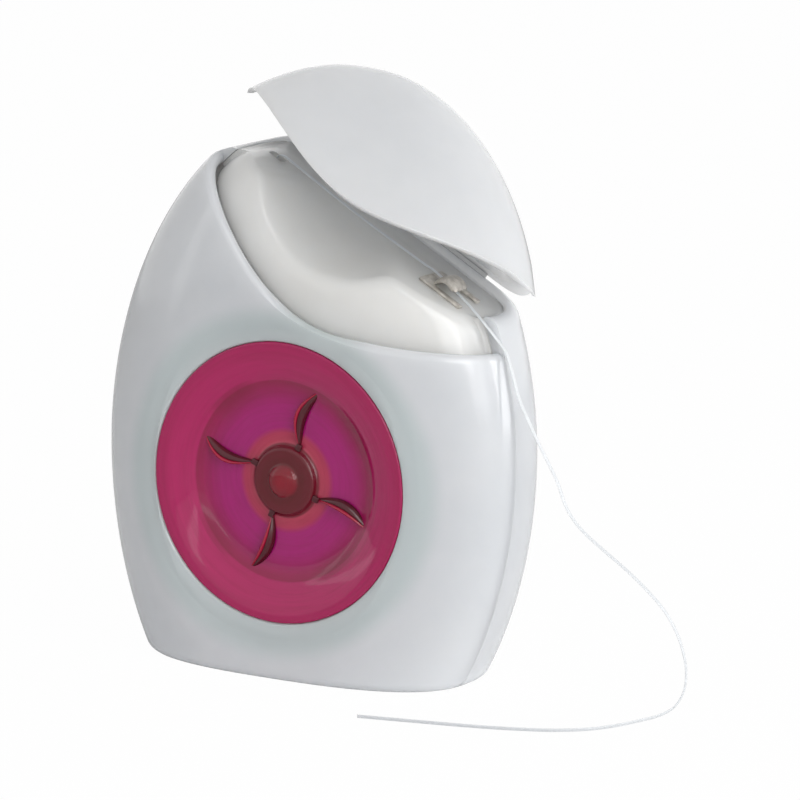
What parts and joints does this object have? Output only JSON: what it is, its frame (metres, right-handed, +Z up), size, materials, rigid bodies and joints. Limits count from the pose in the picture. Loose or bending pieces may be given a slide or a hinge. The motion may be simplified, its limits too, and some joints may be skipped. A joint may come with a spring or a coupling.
{
  "type": "dental floss dispenser",
  "caption": "Egg-shaped dental floss dispenser with a slanted flip lid, a tinted round window over a spinning bobbin, a steel cutter and floss drawn out over the rim.",
  "frame": {"origin": "middle of the flat foot, in the middle plane of the closed egg-shaped body", "axes": "+Z up from the table, -Y towards the viewer of the window, +X towards the low end of the slanted rim"},
  "size_m": [0.0815, 0.0372, 0.0767],
  "materials": {
    "white_shell": "glossy cool white moulded plastic",
    "neck_plastic": "satin warm white moulded plastic",
    "hinge_web": "thin satin white plastic web",
    "pink_window": "glossy clear plastic tinted raspberry pink",
    "steel_cutter": "stamped stainless steel",
    "grey_core": "matte pale grey plastic",
    "floss": "waxed white floss"
  },
  "bodies": {
    "body": {"front_shell": "white_shell", "rear_shell": "white_shell", "neck_insert": "neck_plastic", "lid_hinge": "hinge_web", "window_disc": "pink_window", "cutter": "steel_cutter", "floss_feed": "floss", "floss_strand": "floss"},
    "lid": {"lid": "white_shell"},
    "bobbin": {"bobbin_core": "grey_core", "floss_winding": "floss"}
  },
  "joints": [
    {"name": "lid_swing", "type": "hinge", "parent": "body", "child": "lid", "pos_m": [0.00739, 0.0071, 0.05775], "axis": [-0.8704, 0, 0.4924], "range_deg": [-47, 60], "deforming": ["lid_hinge"]},
    {"name": "bobbin_spin", "type": "hinge", "parent": "body", "child": "bobbin", "pos_m": [0, 0, 0.0251], "axis": [0, 1, 0], "continuous": true}
  ]
}
